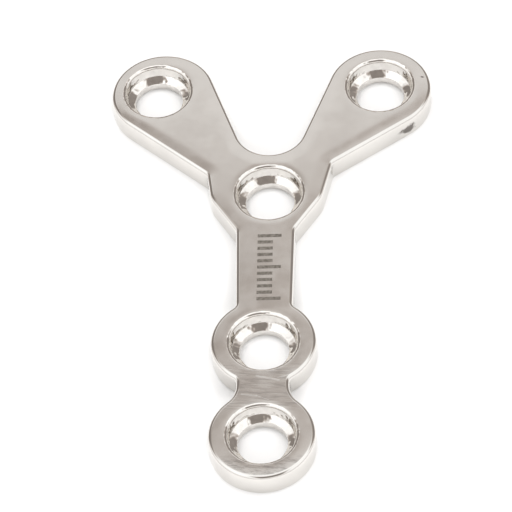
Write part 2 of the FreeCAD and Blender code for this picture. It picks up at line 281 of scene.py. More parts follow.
@dataclass(frozen=True)
class Bend:
    """Round run of the outline: turn is +1 where it turns left, -1 where it turns right."""

    centre: Vector
    radius: float
    start: Vector
    end: Vector
    turn: int = 1

    def left_gap(self, spot: Vector) -> tuple[float, Vector]:
        """Signed distance of a spot to the left, and that direction."""
        offset = spot - self.centre
        return self.turn * (self.radius - offset.length), offset * (-self.turn / offset.length)

    def samples(self, spacing: float) -> list[OutlineSample]:
        """Evenly spaced places from the start up to, and without, the end.

        Args:
            spacing: Widest distance between two places.

        Returns:
            The places, in order.
        """
        first, last = (math.atan2(*(spot - self.centre).yx) for spot in (self.start, self.end))
        sweep = self.turn * ((self.turn * (last - first)) % math.tau)
        finest = math.radians(FINEST_TURN_DEG)
        count = math.ceil(abs(sweep) / min(spacing / self.radius, finest))
        outward = [Vector((math.cos(first + sweep * i / count),
                           math.sin(first + sweep * i / count))) for i in range(count)]
        return [OutlineSample(self.centre + away * self.radius, away * -self.turn)
                for away in outward]


Run = Union[Straight, Bend]


def rounded_corner(first: Run, second: Run, radius: float) -> tuple[Run, Bend, Run]:
    """Round the corner between two runs by an arc that touches both.

    Args:
        first: The run that ends at the corner.
        second: The run that starts there.
        radius: Radius of the arc.

    Returns:
        The shortened first run, the arc and the shortened second run.
    """
    corner = first.end
    _, left_a = first.left_gap(corner)
    _, left_b = second.left_gap(corner)
    turn = 1 if left_a.cross(left_b) > 0 else -1
    centre = corner + (left_a + left_b) * (turn * radius / (1 + left_a.dot(left_b)))
    for _ in range(CORNER_ROUNDS):
        gap_a, left_a = first.left_gap(centre)
        gap_b, left_b = second.left_gap(centre)
        short_a, short_b = turn * radius - gap_a, turn * radius - gap_b
        spread = left_a.cross(left_b)
        centre = centre + Vector((short_a * left_b.y - short_b * left_a.y,
                                  short_b * left_a.x - short_a * left_b.x)) / spread
    touch_a = centre - left_a * (turn * radius)
    touch_b = centre - left_b * (turn * radius)
    return (replace(first, end=touch_a), Bend(centre, radius, touch_a, touch_b, turn),
            replace(second, start=touch_b))


@dataclass(frozen=True)
class PlateOutline:
    """Outline of the plate in plan: two rings, stem, haunches and two round-ended arms."""

    stem_x: float
    stem_ring_y: float
    end_ring_y: float
    ring_radius: float = 2.45
    neck_half_width: float = 1.225
    stem_half_at_ring: float = 1.325
    stem_half_at_haunch: float = 1.4
    haunch_foot_y: float = -2.25
    haunch_half_width: float = 2.65
    haunch_top_y: float = -0.3
    shoulder_half_width: float = 3.0
    right_shoulder_y: float = 1.75
    left_shoulder_y: float = 1.2
    arm_end_x: float = 5.25
    arm_end_y: float = 6.35
    arm_end_radius: float = 2.5
    crotch_y: float = 4.05
    crotch_radius: float = 1.65
    neck_low_radius: float = 1.2
    neck_high_radius: float = 0.35
    stem_corner_radius: float = 0.35
    haunch_foot_radius: float = 0.5
    haunch_top_radius: float = 1.4
    shoulder_radius: float = 0.4

    def across(self, spot: Vector) -> Vector:
        """Mirror a place about the stem's centre line."""
        return Vector((2 * self.stem_x - spot.x, spot.y))

    @staticmethod
    def opposite(spot: Vector) -> Vector:
        """Mirror a place about the head's centre line."""
        return Vector((-spot.x, spot.y))

    @staticmethod
    def touch(spot: Vector, centre: Vector, radius: float, side: int) -> Vector:
        """Where a line from a spot touches a circle.

        Args:
            spot: Where the line starts.
            centre: The circle's centre.
            radius: The circle's radius.
            side: +1 with the circle on the line's left, -1 with it on the right.

        Returns:
            The touching point.
        """
        offset = centre - spot
        lean = side * math.asin(radius / offset.length)
        reach = math.sqrt(offset.length_squared - radius ** 2)
        heading = math.atan2(offset.y, offset.x) - lean
        return spot + Vector((math.cos(heading), math.sin(heading))) * reach

    def right_side(self) -> dict[str, Vector]:
        """Corners of the right half, which most of the left half mirrors.

        Returns:
            The corners, by name.
        """
        ring = self.ring_radius
        neck_rise = math.sqrt(ring ** 2 - self.neck_half_width ** 2)
        stem_rise = math.sqrt(ring ** 2 - self.stem_half_at_ring ** 2)
        end = Vector((self.arm_end_x, self.arm_end_y))
        crotch = Vector((0.0, self.crotch_y))
        offset = end - crotch
        heading = math.atan2(offset.y, offset.x) + math.asin(
            (self.crotch_radius + self.arm_end_radius) / offset.length)
        left = Vector((-math.sin(heading), math.cos(heading)))
        shoulder = Vector((self.shoulder_half_width, self.right_shoulder_y))
        return {
            "neck_low": Vector((self.stem_x + self.neck_half_width,
                                self.end_ring_y + neck_rise)),
            "neck_high": Vector((self.stem_x + self.neck_half_width,
                                 self.stem_ring_y - neck_rise)),
            "stem_foot": Vector((self.stem_x + self.stem_half_at_ring,
                                 self.stem_ring_y + stem_rise)),
            "haunch_foot": Vector((self.stem_x + self.stem_half_at_haunch,
                                   self.haunch_foot_y)),
            "haunch_top": Vector((self.stem_x + self.haunch_half_width, self.haunch_top_y)),
            "shoulder": shoulder,
            "outer": self.touch(shoulder, end, self.arm_end_radius, 1),
            "inner": end + left * self.arm_end_radius,
            "crotch_edge": crotch - left * self.crotch_radius,
        }

    def sharp_runs(self) -> list[tuple[Run, float]]:
        """Runs of the outline, turning left round the plate, before corners are rounded.

        Returns:
            Each run with the radius of the corner at its end, 0 where it is already smooth.
        """
        at = self.right_side()
        across, opposite = self.across, self.opposite
        ring_end = Vector((self.stem_x, self.end_ring_y))
        ring_stem = Vector((self.stem_x, self.stem_ring_y))
        end = Vector((self.arm_end_x, self.arm_end_y))
        crotch = Vector((0.0, self.crotch_y))
        left_shoulder = Vector((-self.shoulder_half_width, self.left_shoulder_y))
        left_outer = self.touch(left_shoulder, opposite(end), self.arm_end_radius, -1)
        ring, arm = self.ring_radius, self.arm_end_radius
        return [
            (Bend(ring_end, ring, across(at["neck_low"]), at["neck_low"]),
             self.neck_low_radius),
            (Straight(at["neck_low"], at["neck_high"]), self.neck_high_radius),
            (Bend(ring_stem, ring, at["neck_high"], at["stem_foot"]),
             self.stem_corner_radius),
            (Straight(at["stem_foot"], at["haunch_foot"]), self.haunch_foot_radius),
            (Straight(at["haunch_foot"], at["haunch_top"]), self.haunch_top_radius),
            (Straight(at["haunch_top"], at["shoulder"]), self.shoulder_radius),
            (Straight(at["shoulder"], at["outer"]), 0.0),
            (Bend(end, arm, at["outer"], at["inner"]), 0.0),
            (Straight(at["inner"], at["crotch_edge"]), 0.0),
            (Bend(crotch, self.crotch_radius, at["crotch_edge"],
                  opposite(at["crotch_edge"]), -1), 0.0),
            (Straight(opposite(at["crotch_edge"]), opposite(at["inner"])), 0.0),
            (Bend(opposite(end), arm, opposite(at["inner"]), left_outer), 0.0),
            (Straight(left_outer, left_shoulder), self.shoulder_radius),
            (Straight(left_shoulder, across(at["haunch_top"])), self.haunch_top_radius),
            (Straight(across(at["haunch_top"]), across(at["haunch_foot"])),
             self.haunch_foot_radius),
            (Straight(across(at["haunch_foot"]), across(at["stem_foot"])),
             self.stem_corner_radius),
            (Bend(ring_stem, ring, across(at["stem_foot"]), across(at["neck_high"])),
             self.neck_high_radius),
            (Straight(across(at["neck_high"]), across(at["neck_low"])),
             self.neck_low_radius),
        ]

    def samples(self, spacing: float) -> list[OutlineSample]:
        """Places along the finished outline, turning left round the plate.

        Args:
            spacing: Widest distance between two places.

        Returns:
            The places in order, the last one next to the first.
        """
        listed = self.sharp_runs()
        runs = [run for run, _ in listed]
        corners = {}
        for i, (_, radius) in enumerate(listed):
            following = (i + 1) % len(runs)
            if radius > 0:
                runs[i], corners[i], runs[following] = rounded_corner(
                    runs[i], runs[following], radius)
        found = []
        for i, run in enumerate(runs):
            found += run.samples(spacing)
            if i in corners:
                found += corners[i].samples(spacing)
        return found


@dataclass(frozen=True)
class SectionArc:
    """Round stretch of a section that is swept along a path; angles turn from outward to up."""

    name: str
    centre: tuple[float, float]
    radius: float
    start: float
    sweep: float
    points: int


@dataclass(frozen=True)
class SectionLine:
    """Straight stretch of a section that is swept along a path."""

    name: str
    start: tuple[float, float]
    end: tuple[float, float]
    cuts: int = 4


Section = Sequence[Union[SectionArc, SectionLine]]


@dataclass(frozen=True)
class EdgeSizes:
    """Section of the plate's outer edge, measured from the upper edge round's inner end."""

    thickness: float
    upper_round: float = 0.18
    lower_break: float = 0.08
    upper_points: int = 13
    lower_points: int = 6

    def section(self) -> Section:
        """Stretches of the section, outward and up from the top face's border.

        Returns:
            The stretches, from the top face's border down to the bone face.
        """
        foot = -self.thickness + self.lower_break
        return (
            SectionArc("Upper round", (0.0, -self.upper_round), self.upper_round,
                       0.0, math.pi / 2, self.upper_points),
            SectionLine("Wall", (self.upper_round, -self.upper_round),
                        (self.upper_round, foot)),
            SectionArc("Lower round", (self.upper_round - self.lower_break, foot),
                       self.lower_break, -math.pi / 2, math.pi / 2, self.lower_points),
        )


@dataclass(frozen=True)
class HoleSizes:
    """Section of a screw hole about its axis: bore, conical seat, steep wall and round rim."""

    thickness: float
    bore_radius: float
    seat_foot: float = 0.42
    seat_slope_deg: float = 32.0
    wall_radius: float = 1.49
    wall_lean_deg: float = 8.0
    seat_fillet: float = 0.03
    rim_round: float = 0.17
    bore_round: float = 0.03
    lower_break: float = 0.1
    small_round_points: int = 5
    rim_points: int = 15

    @property
    def lean(self) -> float:
        """Lean of the upper wall from upright, in radians."""
        return math.radians(self.wall_lean_deg)

    @property
    def slope(self) -> float:
        """Slope of the seat from level, in radians."""
        return math.radians(self.seat_slope_deg)

    @property
    def wall_foot(self) -> tuple[float, float]:
        """Where the leaning wall leaves the seat's fillet, from the bore's wall.

        Returns:
            The place, outward and up.
        """
        across, up = self.beside_seat(
            self.wall_radius - self.bore_radius - self.seat_fillet, self.seat_fillet)
        return (across + self.seat_fillet * math.cos(self.lean),
                up - self.seat_fillet * math.sin(self.lean))

    @property
    def wall_top(self) -> tuple[float, float]:
        """Where the leaning wall meets the rim's round, from the bore's wall.

        Returns:
            The place, outward and up.
        """
        across, up = self.wall_foot
        top = self.thickness - self.rim_round * (1 - math.sin(self.lean))
        return across + (top - up) * math.tan(self.lean), top

    @property
    def rim_radius(self) -> float:
        """Where the top face ends at the rim."""
        return self.bore_radius + self.wall_top[0] + self.rim_round * math.cos(self.lean)

    @property
    def lower_radius(self) -> float:
        """Where the bone face ends at the bore."""
        return self.bore_radius + self.lower_break

    def beside_seat(self, across: float, gap: float) -> tuple[float, float]:
        """Place at a distance above the seat's line, or below it where the gap is negative.

        Args:
            across: How far out from the bore's wall the place is.
            gap: Distance to the seat's line.

        Returns:
            The place, outward and up.
        """
        rise = gap + across * math.sin(self.slope)
        return across, self.seat_foot + rise / math.cos(self.slope)

    def section(self) -> Section:
        """Stretches of the section, outward from the bore's wall and up from the bone face.

        Returns:
            The stretches, from the bone face up to the rim.
        """
        slope, lean = self.slope, self.lean
        normal = (-math.sin(slope), math.cos(slope))
        wall = self.wall_radius - self.bore_radius
        rim_centre = (self.rim_radius - self.bore_radius, self.thickness - self.rim_round)
        nose = self.beside_seat(self.bore_round, -self.bore_round)
        hollow = self.beside_seat(wall - self.seat_fillet, self.seat_fillet)
        seat_start = tuple(c + self.bore_round * n for c, n in zip(nose, normal))
        seat_end = tuple(c - self.seat_fillet * n for c, n in zip(hollow, normal))
        quarter = math.pi / 2
        return (
            SectionArc("Lower round", (self.lower_break, self.lower_break),
                       self.lower_break, math.pi, quarter, self.small_round_points),
            SectionLine("Bore wall", (0.0, self.lower_break), (0.0, nose[1])),
            SectionArc("Bore round", nose, self.bore_round, math.pi, slope - quarter,
                       self.small_round_points),
            SectionLine("Seat", seat_start, seat_end),
            SectionArc("Seat fillet", hollow, self.seat_fillet, slope - quarter,
                       quarter - slope - lean, self.small_round_points),
            SectionLine("Upper wall", self.wall_foot, self.wall_top),
            SectionArc("Rim round", rim_centre, self.rim_round, math.pi - lean,
                       lean - quarter, self.rim_points),
        )


@dataclass(frozen=True)
class PolishSizes:
    """How hand polishing has rolled the top face off towards its borders.

    The roll-off is full on the arms, beyond arm_foot_y, and stem_share of it on the stem.
    The stem is thinner by stem_sink beyond sink_end_y, which leaves room for the scale.
    """

    edge_drop: float = 0.02
    edge_width: float = 0.6
    stem_share: float = 0.35
    stem_top_y: float = 0.0
    arm_foot_y: float = 2.6
    rim_drop: float = 0.004
    rim_width: float = 0.25
    stem_sink: float = 0.004
    sink_start_y: float = -0.8
    sink_end_y: float = -2.3


class Zone(Enum):
    """Stretches of the plate's surface that have their own finish; the edge and seats are also tinted
    lighter than the face, partly as painted light.
    """

    FACE = "top face and bone face"
    EDGE = "outer edge"
    SEAT = "screw seats and bores"


class GeometryTree(NodeGraph):
    """A geometry node tree with named inputs, whose values are set on a modifier."""

    def __init__(self, name: str) -> None:
        """Make the tree, with its geometry input and output.

        Args:
            name: The tree's name.
        """
        super().__init__(bpy.data.node_groups.new(name, "GeometryNodeTree"))
        self.values = {}
        for in_out in ("INPUT", "OUTPUT"):
            self.tree.interface.new_socket("Geometry", in_out=in_out,
                                           socket_type="NodeSocketGeometry")
        self.group_input = self.add("NodeGroupInput")
        self.group_output = self.add("NodeGroupOutput")

    def named(self, name: str, value: Union[float, tuple, bpy.types.Material],
              kind: str = "NodeSocketFloat") -> Socket:
        """Add a named input.

        Args:
            name: The input's name.
            value: What the modifier sets it to.
            kind: The socket's type.

        Returns:
            The socket that gives the value inside the tree.
        """
        socket = self.tree.interface.new_socket(name, in_out="INPUT", socket_type=kind)
        self.values[socket.identifier] = value
        return next(s for s in self.group_input.outputs if s.identifier == socket.identifier)

    def section_curves(self, label: str, section: Section) -> Socket:
        """Draw a section as curves, in the plane that Curve to Mesh reads.

        Args:
            label: Goes before the name of each input.
            section: The section's stretches, outward and up.

        Returns:
            The curves' socket.
        """
        curves = []
        for part in section:
            title = f"{label} {part.name.lower()}"
            if isinstance(part, SectionLine):
                start = self.named(f"{title} start", (part.start[0], -part.start[1], 0.0),
                                   "NodeSocketVector")
                end = self.named(f"{title} end", (part.end[0], -part.end[1], 0.0),
                                 "NodeSocketVector")
                line = self.add("GeometryNodeCurvePrimitiveLine", {"Start": start, "End": end})
                cut = self.add("GeometryNodeSubdivideCurve", {
                    "Curve": line.outputs["Curve"], "Cuts": part.cuts})
                curves.append(cut.outputs["Curve"])
                continue
            arc = self.add("GeometryNodeCurveArc", {
                "Resolution": part.points,
                "Radius": self.named(f"{title} radius", part.radius),
                "Start Angle": self.named(f"{title} start", -part.start),
                "Sweep Angle": self.named(f"{title} sweep", -part.sweep)})
            centre = self.named(f"{title} centre", (part.centre[0], -part.centre[1], 0.0),
                                "NodeSocketVector")
            moved = self.add("GeometryNodeTransform", {
                "Geometry": arc.outputs["Curve"], "Translation": centre})
            curves.append(moved.outputs["Geometry"])
        return self.joined(curves)

    def joined(self, parts: Sequence[Socket]) -> Socket:
        """Join several geometries into one.

        Args:
            parts: The geometries' sockets.

        Returns:
            The joined geometry's socket.
        """
        node = self.add("GeometryNodeJoinGeometry")
        for part in parts:
            self.tree.links.new(part, node.inputs["Geometry"])
        return node.outputs["Geometry"]

    def coordinate(self, axis: str) -> Socket:
        """Read each point's coordinate along one axis."""
        place = self.add("GeometryNodeInputPosition").outputs["Position"]
        return self.add("ShaderNodeSeparateXYZ", {"Vector": place}).outputs[axis]

    def flag(self, name: str) -> Socket:
        """Read a true or false attribute by name."""
        node = self.add("GeometryNodeInputNamedAttribute", {"Name": name}, data_type="BOOLEAN")
        return node.outputs["Attribute"]

    def painted(self, part: Socket, material: bpy.types.Material,
                title: str) -> Socket:
        """Give a geometry a material that is a named input of the tree.

        Args:
            part: The geometry's socket.
            material: Its material.
            title: Name of the input that holds the material.

        Returns:
            The painted geometry's socket.
        """
        socket = self.named(title, material, "NodeSocketMaterial")
        node = self.add("GeometryNodeSetMaterial", {"Geometry": part, "Material": socket})
        return node.outputs["Geometry"]

    def finish(self, result: Socket) -> None:
        """Connect the tree's result, made real."""
        real = self.add("GeometryNodeRealizeInstances", {"Geometry": result})
        self.tree.links.new(real.outputs["Geometry"], self.group_output.inputs[0])

    def grown(self, base: bpy.types.Object, name: str) -> bpy.types.Object:
        """Run the tree on an object and turn the result into a plain mesh object.

        Args:
            base: The object whose mesh the tree starts from, which is removed.
            name: Name of the finished object.

        Returns:
            The finished object, at the origin and with no modifier.
        """
        modifier = base.modifiers.new("Shape", "NODES")
        modifier.node_group = self.tree
        for identifier, value in self.values.items():
            modifier[identifier] = value
        depsgraph = bpy.context.evaluated_depsgraph_get()
        mesh = bpy.data.meshes.new_from_object(base.evaluated_get(depsgraph))
        mesh.name = name
        base.modifiers.remove(modifier)
        bpy.data.objects.remove(base)
        piece = bpy.data.objects.new(name, mesh)
        bpy.context.scene.collection.objects.link(piece)
        return piece


def drawn_circle(centre: Vector, radius: float, count: int) -> list[Vector]:
    """Evenly spaced points on a circle in plan, the first one along +X.

    Args:
        centre: The circle's centre.
        radius: Its radius.
        count: How many points it has.

    Returns:
        The points, turning left.
    """
    return [centre + Vector((math.cos(math.tau * i / count),
                             math.sin(math.tau * i / count))) * radius
            for i in range(count)]


class FaceMesher:
    """Fills a level face that has a closed border and round holes with even triangles."""

    def __init__(self, border: Sequence[Vector], rings: Sequence[Sequence[Vector]]) -> None:
        """Keep the border and the holes' rims.

        Args:
            border: The border's points in order, turning left.
            rings: Each rim's points in order, turning left.
        """
        self.loops = [np.array(border), *(np.array(ring) for ring in rings)]

    def inside(self, spots: np.ndarray) -> np.ndarray:
        """Tell which spots lie on the face: within the border and outside each rim.

        Args:
            spots: Places in plan, one in each row.

        Returns:
            True for each spot that lies on the face.
        """
        crossings = np.zeros(len(spots), int)
        for loop in self.loops:
            here, there = loop, np.roll(loop, -1, axis=0)
            for (ax, ay), (bx, by) in zip(here, there):
                spans = (ay > spots[:, 1]) != (by > spots[:, 1])
                with np.errstate(divide="ignore", invalid="ignore"):
                    meets = ax + (spots[:, 1] - ay) * (bx - ax) / (by - ay)
                crossings += spans & (spots[:, 0] < meets)
        return crossings % 2 == 1

    @staticmethod
    def apart(candidates: np.ndarray, taken: np.ndarray, gap: float) -> np.ndarray:
        """Keep the candidates that lie at least a gap away from every point taken.

        Args:
            candidates: Points that may be added, one in each row.
            taken: Points that are there already.
            gap: The least distance.

        Returns:
            The candidates that are kept. They aren't measured against each other.
        """
        kept = []
        for chunk in np.array_split(candidates, max(1, len(candidates) // POINTS_AT_ONCE)):
            distances = np.linalg.norm(chunk[:, None, :] - taken[None, :, :], axis=2)
            kept.append(chunk[distances.min(axis=1) >= gap])
        return np.concatenate(kept)

    def filled(self, batches: Sequence[np.ndarray], gap: float
               ) -> tuple[list[Vector], list[tuple[int, int, int]]]:
        """Triangulate the face.

        Args:
            batches: Inner points, those of earlier batches going first.
            gap: How close two points may come.

        Returns:
            The points, border first, and the triangles, turning left.
        """
        taken = np.concatenate(self.loops)
        for batch in batches:
            if len(batch):
                batch = batch[self.inside(batch)]
                taken = np.concatenate([taken, self.apart(batch, taken, gap)])
        edges, start = [], 0
        for loop in self.loops:
            count = len(loop)
            edges += [(start + i, start + (i + 1) % count) for i in range(count)]
            start += count
        spots = [Vector(spot) for spot in taken]
        points, _, triangles, *_ = geometry.delaunay_2d_cdt(spots, edges, [], 0, SAME_POINT)
        flat = np.array(points)
        middles = np.array([flat[list(corners)].mean(axis=0) for corners in triangles])
        return points, [tuple(corners) for corners, on_face
                        in zip(triangles, self.inside(middles)) if on_face]


@dataclass
class BonePlate:
    """The plate itself: top and bone face, polished edge and five screw holes.

    inner_rows are the rows of points inside the top face's border and rims, and
    closest_share is how near two points may come, both as shares of border_spacing.
    """

    hole_places: Sequence[Vector]
    outline: PlateOutline
    edge: EdgeSizes
    hole: HoleSizes
    polish: PolishSizes = field(default_factory=PolishSizes)
    border_spacing: float = 0.1
    face_spacing: float = 0.13
    hole_points: int = 112
    inner_rows: tuple[float, ...] = (0.5, 1.2, 2.1)
    closest_share: float = 0.45
    weld: float = 0.006

    @classmethod
    def from_frame(cls, mounts: Sequence[dict], thickness: float) -> "BonePlate":
        """Take the holes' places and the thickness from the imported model.

        Args:
            mounts: The record's mounts.
            thickness: Height of the plate.

        Returns:
            The plate's sizes.
        """
        bores = {m["name"]: m for m in mounts if m["kind"] == "bore"}
        places = {name: Vector(m["pos_m"][:2]) / MM for name, m in bores.items()}
        outline = PlateOutline(stem_x=places["stem_hole"].x, stem_ring_y=places["stem_hole"].y,
                               end_ring_y=places["end_hole"].y)
        bore_radius = bores["junction_hole"]["dims"]["r_mm"]
        return cls(list(places.values()), outline, EdgeSizes(thickness),
                   HoleSizes(thickness, bore_radius))

    def inner_batches(self, samples: Sequence[OutlineSample]) -> list[np.ndarray]:
        """Points of the top face that follow its border and rims, then an even grid.

        Args:
            samples: Places along the plate's outline.

        Returns:
            The points, in the order in which they are laid.
        """
        batches = []
        for share in self.inner_rows:
            depth = self.edge.upper_round + share * self.border_spacing
            batches.append(np.array([s.inset(depth) for s in samples]))
            for place in self.hole_places:
                radius = self.hole.rim_radius + share * self.border_spacing
                batches.append(np.array(drawn_circle(place, radius, self.hole_points)))
        corners = np.array([s.spot for s in samples])
        low, high = corners.min(axis=0), corners.max(axis=0)
        row_gap = self.face_spacing * math.sqrt(3) / 2
        rows = np.arange(low[1], high[1], row_gap)
        columns = np.arange(low[0], high[0], self.face_spacing)
        grid = [(x + (j % 2) * self.face_spacing / 2, y)
                for j, y in enumerate(rows) for x in columns]
        return [*batches, np.array(grid)]

    def base_object(self) -> bpy.types.Object:
        """Both level faces, with the border marked, and a lone point for each hole.

        Returns:
            The object that the plate's node tree starts from.
        """
        samples = self.outline.samples(self.border_spacing)
        top_border = [s.inset(self.edge.upper_round) for s in samples]
        low_border = [s.inset(self.edge.lower_break) for s in samples]
        count = self.hole_points
        top = FaceMesher(top_border, [drawn_circle(place, self.hole.rim_radius, count)
                                      for place in self.hole_places])
        low = FaceMesher(low_border, [drawn_circle(place, self.hole.lower_radius, count)
                                      for place in self.hole_places])
        top_points, top_faces = top.filled(self.inner_batches(samples),
                                           self.closest_share * self.border_spacing)
        low_points, low_faces = low.filled([], 0.0)
        shift = len(top_points)
        lone = shift + len(low_points)
        vertices = [(*p, self.edge.thickness) for p in top_points]
        vertices += [(*p, 0.0) for p in low_points]
        vertices += [(*place, 0.0) for place in self.hole_places]
        faces = top_faces + [tuple(shift + i for i in reversed(f)) for f in low_faces]
        mesh = bpy.data.meshes.new("plate_base")
        mesh.from_pydata(vertices, [], faces)
        on_border = mesh.attributes.new("border", "BOOLEAN", "EDGE")
        border_count = len(top_border)
        ends = [(a, b) if a < b else (b, a) for a, b in
                (tuple(edge.vertices) for edge in mesh.edges)]
        on_border.data.foreach_set("value", [
            b < border_count and b - a in (1, border_count - 1) for a, b in ends])
        at_hole = mesh.attributes.new("hole_axis", "BOOLEAN", "POINT")
        at_hole.data.foreach_set("value", [i >= lone for i in range(len(vertices))])
        base = bpy.data.objects.new("plate_base", mesh)
        bpy.context.scene.collection.objects.link(base)
        return base

    def tree(self, finishes: dict[Zone, bpy.types.Material]) -> GeometryTree:
        """Node tree that sweeps the edge, turns the holes and rolls the top face off.

        Args:
            finishes: The material of each zone.

        Returns:
            The tree, with its named inputs.
        """
        tree = GeometryTree("Plate form")
        base = tree.group_input.outputs[0]
        axes = tree.add("GeometryNodeMeshToPoints", {
            "Mesh": base, "Selection": tree.flag("hole_axis")}).outputs["Points"]
        faces = tree.add("GeometryNodeDeleteGeometry", {
            "Geometry": base, "Selection": tree.flag("hole_axis")},
            domain="POINT").outputs["Geometry"]
        border = tree.add("GeometryNodeMeshToCurve", {
            "Mesh": faces, "Selection": tree.flag("border")}).outputs["Curve"]
        border = self.turned_left(tree, border)
        border = tree.add("GeometryNodeSetCurveNormal", {"Curve": border},
                          mode="Z_UP").outputs["Curve"]
        edge = tree.add("GeometryNodeCurveToMesh", {
            "Curve": border,
            "Profile Curve": tree.section_curves("Edge", self.edge.section())})

        bore_radius = tree.named("Bore radius", self.hole.bore_radius)
        hole_path = tree.add("GeometryNodeCurvePrimitiveCircle", {
            "Resolution": tree.named("Points round a hole", self.hole_points,
                                     "NodeSocketInt"),
            "Radius": bore_radius})
        hole = tree.add("GeometryNodeCurveToMesh", {
            "Curve": hole_path.outputs["Curve"],
            "Profile Curve": tree.section_curves("Hole", self.hole.section())})
        holes = tree.add("GeometryNodeInstanceOnPoints", {
            "Points": axes, "Instance": hole.outputs["Mesh"]})
        holes = tree.add("GeometryNodeRealizeInstances", {
            "Geometry": holes.outputs["Instances"]})

        edge_drop = self.edge_drop(tree)
        rim_drop = tree.named("Rim drop", self.polish.rim_drop)
        stem_sink = self.stem_sink(tree)
        parts = []
        for zone, part, drop in (
                (Zone.FACE, faces, self.face_drop(tree, border, axes, edge_drop, rim_drop)),
                (Zone.EDGE, edge.outputs["Mesh"], edge_drop),
                (Zone.SEAT, holes.outputs["Geometry"], rim_drop)):
            marked = tree.add("GeometryNodeStoreNamedAttribute", {
                "Geometry": part, "Name": "drop",
                "Value": tree.math("ADD", drop, stem_sink)}, data_type="FLOAT",
                domain="POINT").outputs["Geometry"]
            parts.append(tree.painted(marked, finishes[zone], f"Finish of the {zone.value}"))
        whole = tree.joined(parts)
        sunk = self.lowered(tree, whole)
        welded = tree.add("GeometryNodeMergeByDistance", {
            "Geometry": sunk, "Distance": tree.named("Weld", self.weld)})
        metres = tree.add("GeometryNodeTransform", {
            "Geometry": welded.outputs["Geometry"], "Scale": (MM, MM, MM)})
        smooth = tree.add("GeometryNodeSetShadeSmooth", {
            "Geometry": metres.outputs["Geometry"]})
        tree.finish(smooth.outputs["Geometry"])
        return tree

    @staticmethod
    def turned_left(tree: GeometryTree, loop: Socket) -> Socket:
        """Make a closed curve go round to the left, whichever way it went before.

        Args:
            tree: The plate's node tree.
            loop: The closed curve.

        Returns:
            The turned curve's socket.
        """
        place = tree.add("GeometryNodeInputPosition").outputs["Position"]
        along = tree.add("GeometryNodeInputTangent").outputs["Tangent"]
        turning = tree.vector("CROSS_PRODUCT", place, along)
        turning = tree.add("ShaderNodeSeparateXYZ", {"Vector": turning}).outputs["Z"]
        mean = tree.add("GeometryNodeAttributeStatistic", {
            "Geometry": loop, "Attribute": turning}).outputs["Mean"]
        backward = tree.math("LESS_THAN", mean, 0.0)
        return tree.add("GeometryNodeReverseCurve", {
            "Curve": loop, "Selection": backward}).outputs["Curve"]

    def face_drop(self, tree: GeometryTree, border: Socket, axes: Socket, edge_drop: Socket,
                  rim_drop: Socket) -> Socket:
        """Depth of the polished roll-off, by the distance to the border and to the rims.

        Args:
            tree: The plate's node tree.
            border: The top face's border, as a curve.
            axes: A point on each hole's axis.
            edge_drop: Depth at the border.
            rim_drop: Depth at the rims.

        Returns:
            The depth's socket.
        """
        wire = tree.add("GeometryNodeCurveToMesh", {"Curve": border})
        to_border = tree.add("GeometryNodeProximity", {"Geometry": wire.outputs["Mesh"]},
                             target_element="EDGES")
        place = tree.add("GeometryNodeInputPosition").outputs["Position"]
        flat = tree.vector("MULTIPLY", place, (1.0, 1.0, 0.0))
        to_axis = tree.add("GeometryNodeProximity", {"Geometry": axes, "Sample Position": flat},
                           target_element="POINTS")
        rim_gap = tree.math("SUBTRACT", to_axis.outputs["Distance"],
                            tree.named("Rim radius", self.hole.rim_radius))
        drops = []
        for gap, depth, title, width in (
                (to_border.outputs["Distance"], edge_drop, "Edge", self.polish.edge_width),
                (rim_gap, rim_drop, "Rim", self.polish.rim_width)):
            share = tree.math("DIVIDE", gap, tree.named(f"{title} roll width", width))
            rest = tree.math("SUBTRACT", 1.0, share, clamp=True)
            drops.append(tree.math("MULTIPLY", tree.math("MULTIPLY", rest, rest), depth))
        return tree.math("ADD", *drops)

    def edge_drop(self, tree: GeometryTree) -> Socket:
        """Depth of the roll-off at the border: full on the arms, less on the stem.

        Args:
            tree: The plate's node tree.

        Returns:
            The depth's socket.
        """
        share = tree.add("ShaderNodeMapRange", {
            "Value": tree.coordinate("Y"),
            "From Min": tree.named("Stem top", self.polish.stem_top_y),
            "From Max": tree.named("Arm foot", self.polish.arm_foot_y),
            "To Min": tree.named("Stem share", self.polish.stem_share), "To Max": 1.0},
            interpolation_type="SMOOTHSTEP").outputs[0]
        return tree.math("MULTIPLY", share, tree.named("Edge drop", self.polish.edge_drop))

    def stem_sink(self, tree: GeometryTree) -> Socket:
        """How much thinner the plate is along the stem.

        Args:
            tree: The plate's node tree.

        Returns:
            The lost thickness's socket.
        """
        return tree.add("ShaderNodeMapRange", {
            "Value": tree.coordinate("Y"),
            "From Min": tree.named("Sink start", self.polish.sink_start_y),
            "From Max": tree.named("Sink end", self.polish.sink_end_y), "To Min": 0.0,
            "To Max": tree.named("Stem sink", self.polish.stem_sink)},
            interpolation_type="SMOOTHSTEP").outputs[0]

    def lowered(self, tree: GeometryTree, whole: Socket) -> Socket:
        """Move each point down by its drop, less and less towards the bone face.

        Args:
            tree: The plate's node tree.
            whole: The whole plate, with each point's drop stored.

        Returns:
            The lowered plate's socket.
        """
        share = tree.math("DIVIDE", tree.coordinate("Z"), tree.named("Thickness", self.edge.thickness))
        drop = tree.add("GeometryNodeInputNamedAttribute", {"Name": "drop"},
                        data_type="FLOAT").outputs["Attribute"]
        down = tree.math("MULTIPLY", tree.math("MULTIPLY", share, drop), -1.0)
        offset = tree.add("ShaderNodeCombineXYZ", {"Z": down}).outputs["Vector"]
        moved = tree.add("GeometryNodeSetPosition", {"Geometry": whole, "Offset": offset})
        return moved.outputs["Geometry"]

